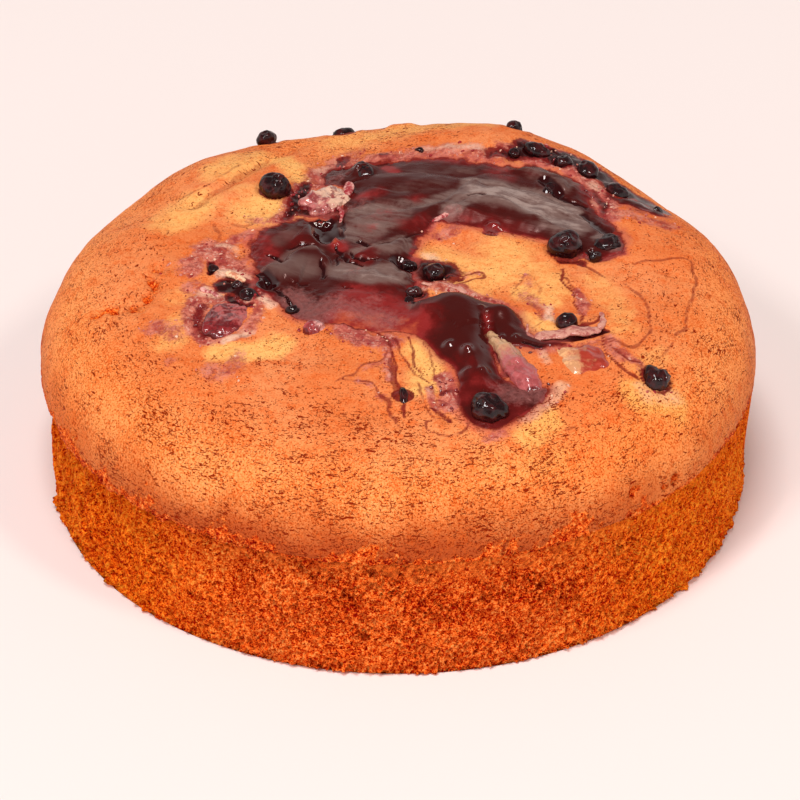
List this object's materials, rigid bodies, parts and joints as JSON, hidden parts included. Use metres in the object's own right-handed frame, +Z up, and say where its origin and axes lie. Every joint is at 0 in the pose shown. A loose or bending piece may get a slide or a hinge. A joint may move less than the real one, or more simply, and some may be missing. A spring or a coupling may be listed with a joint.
{
  "type": "blueberry plum cake",
  "caption": "Whole round sponge cake with a browned domed crust, bare crumb side, glossy dark fruit filling on top and sunk blueberries and plum pieces.",
  "frame": {"origin": "centre of the cake's flat base", "axes": "+Z up through the crown, -Y to the front as pictured, +X to the right"},
  "size_m": [0.1974, 0.197, 0.074],
  "materials": {
    "crust": "matte",
    "crumb": "rough, open crumb",
    "filling": "wet gloss",
    "plum": "wet satin",
    "berry": "wet gloss"
  },
  "bodies": {
    "root": {"cake": "crust", "fruit_filling": "filling", "filling_tail": "filling", "plum_1": "plum", "plum_2": "plum", "plum_3": "plum", "plum_4": "plum", "plum_5": "plum", "berry_01": "berry", "berry_02": "berry", "berry_03": "berry", "berry_04": "berry", "berry_05": "berry", "berry_06": "berry", "berry_07": "berry", "berry_08": "berry", "berry_09": "berry", "berry_10": "berry", "berry_11": "berry", "berry_12": "berry", "berry_13": "berry", "berry_14": "berry", "berry_15": "berry", "berry_16": "berry", "berry_17": "berry", "berry_18": "berry", "berry_19": "berry", "berry_20": "berry"}
  },
  "joints": []
}
